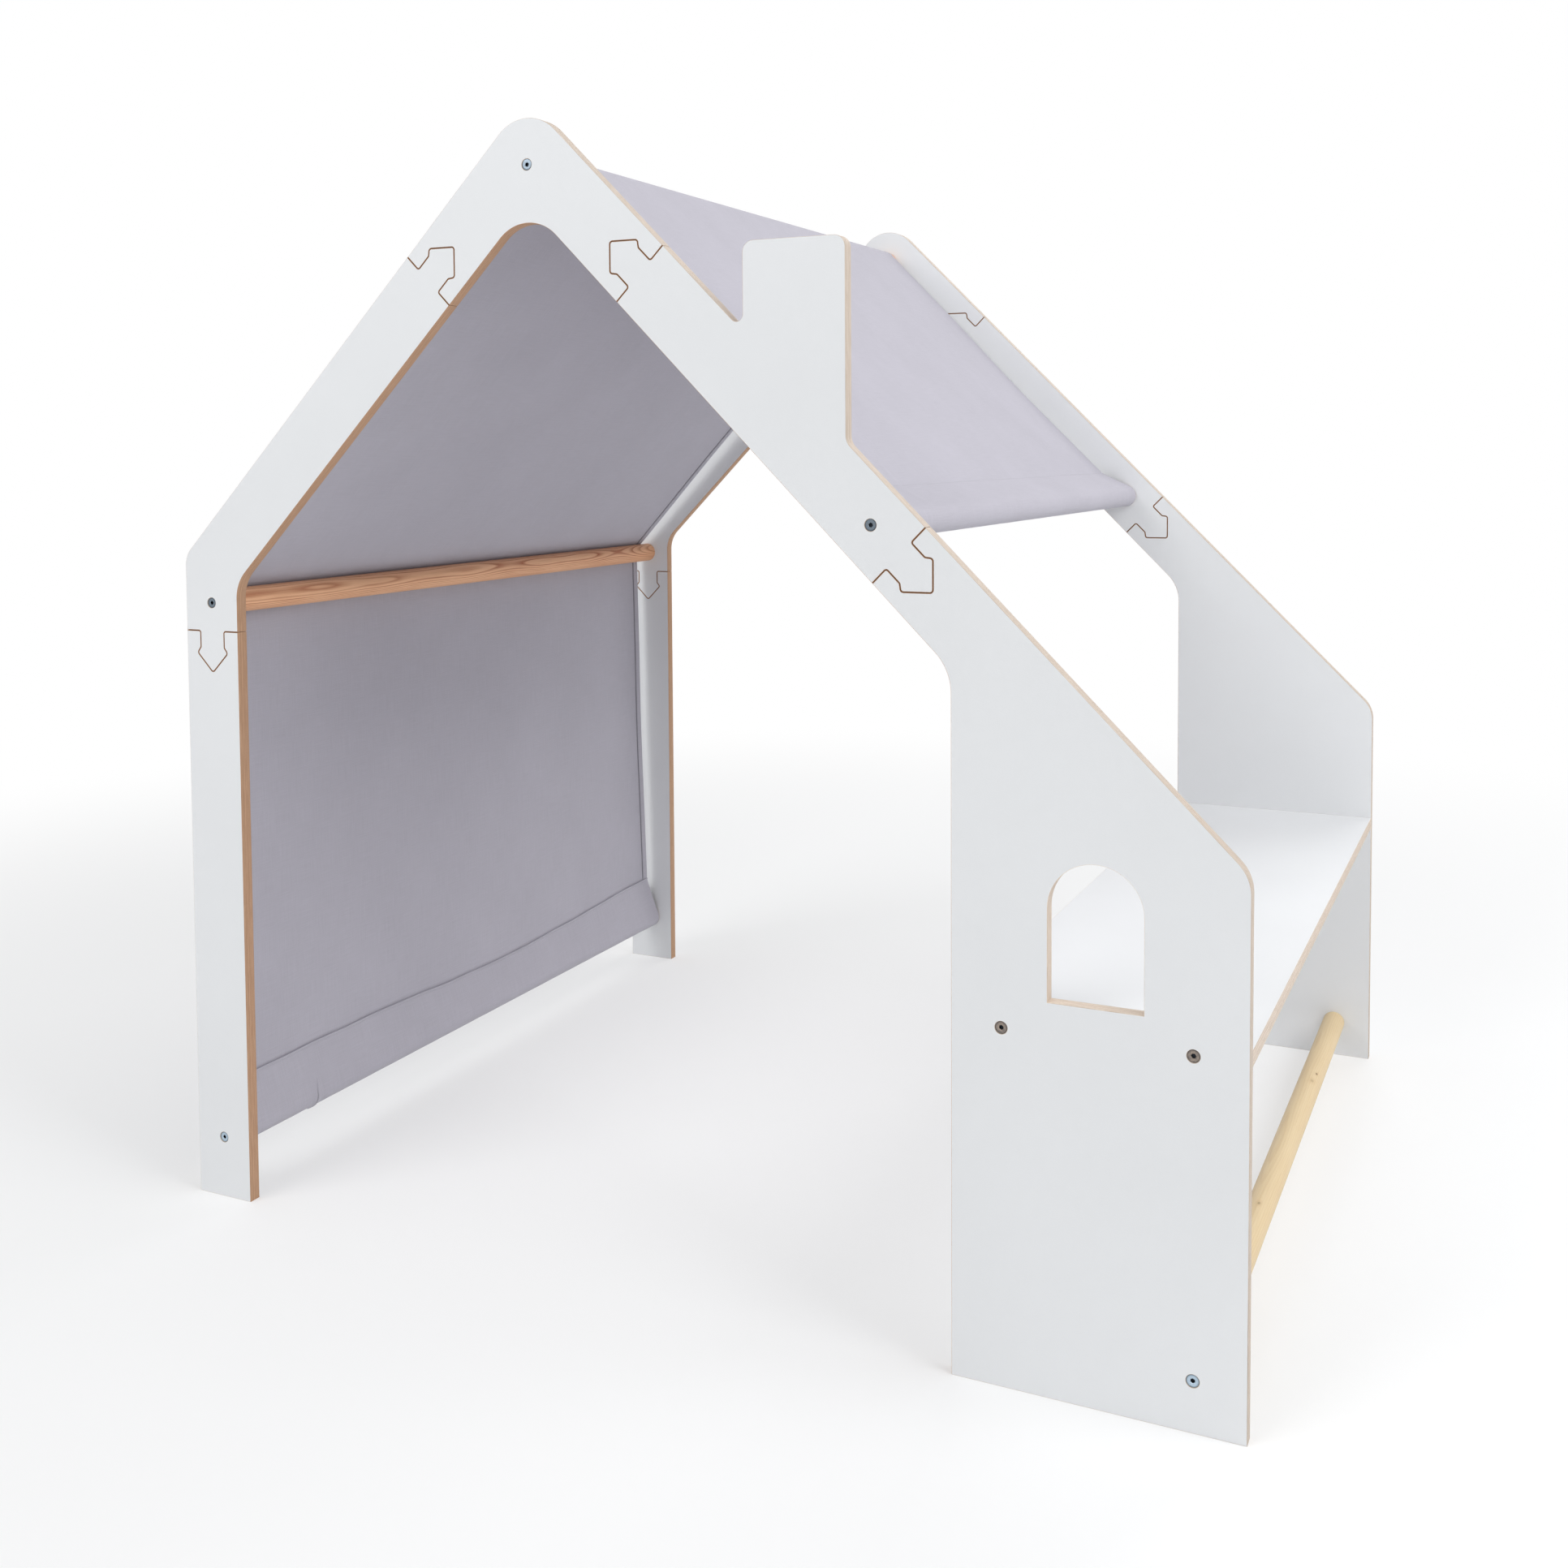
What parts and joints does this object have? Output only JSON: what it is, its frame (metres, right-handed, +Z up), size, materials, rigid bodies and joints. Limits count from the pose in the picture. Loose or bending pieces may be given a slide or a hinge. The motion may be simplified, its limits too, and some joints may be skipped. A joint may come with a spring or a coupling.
{
  "type": "playhouse",
  "caption": "Open indoor playhouse: house-shaped plywood frames joined by wooden dowels, with a cloth wall and roof, an arched window, a chimney outline and a counter along one side.",
  "frame": {"origin": "centre of the footprint on the floor", "axes": "+X from the posts to the side panels with the counter, -Y towards the front frame with the chimney and the window, +Z up"},
  "size_m": [1.25, 1.054, 1.2528],
  "materials": {
    "laminated_ply": "satin cool-white laminate faces over birch plywood with bare, lightly scorched edges",
    "pine_dowel": "oiled pine with strong grain",
    "birch_dowel": "pale sanded wood with fine grain and small knots",
    "cover_cloth": "lilac-grey plain-woven cotton, hemmed and stitched",
    "zinc_hardware": "zinc-plated countersunk bolts with hexagon sockets"
  },
  "bodies": {
    "root": {"front_left_post": "laminated_ply", "front_left_rafter": "laminated_ply", "front_apex": "laminated_ply", "front_right_rafter": "laminated_ply", "front_side_panel": "laminated_ply", "rear_left_post": "laminated_ply", "rear_left_rafter": "laminated_ply", "rear_apex": "laminated_ply", "rear_right_rafter": "laminated_ply", "rear_side_panel": "laminated_ply", "table_top": "laminated_ply", "ridge_dowel": "pine_dowel", "eave_dowel": "pine_dowel", "wall_hem_dowel": "pine_dowel", "roof_hem_dowel": "pine_dowel", "footrest_dowel": "birch_dowel", "fabric_cover": "cover_cloth", "front_dowel_bolts": "zinc_hardware", "rear_dowel_bolts": "zinc_hardware", "front_table_bolts": "zinc_hardware", "rear_table_bolts": "zinc_hardware", "front_dowel_inserts": "zinc_hardware", "rear_dowel_inserts": "zinc_hardware", "table_barrel_nuts": "zinc_hardware"}
  },
  "joints": []
}
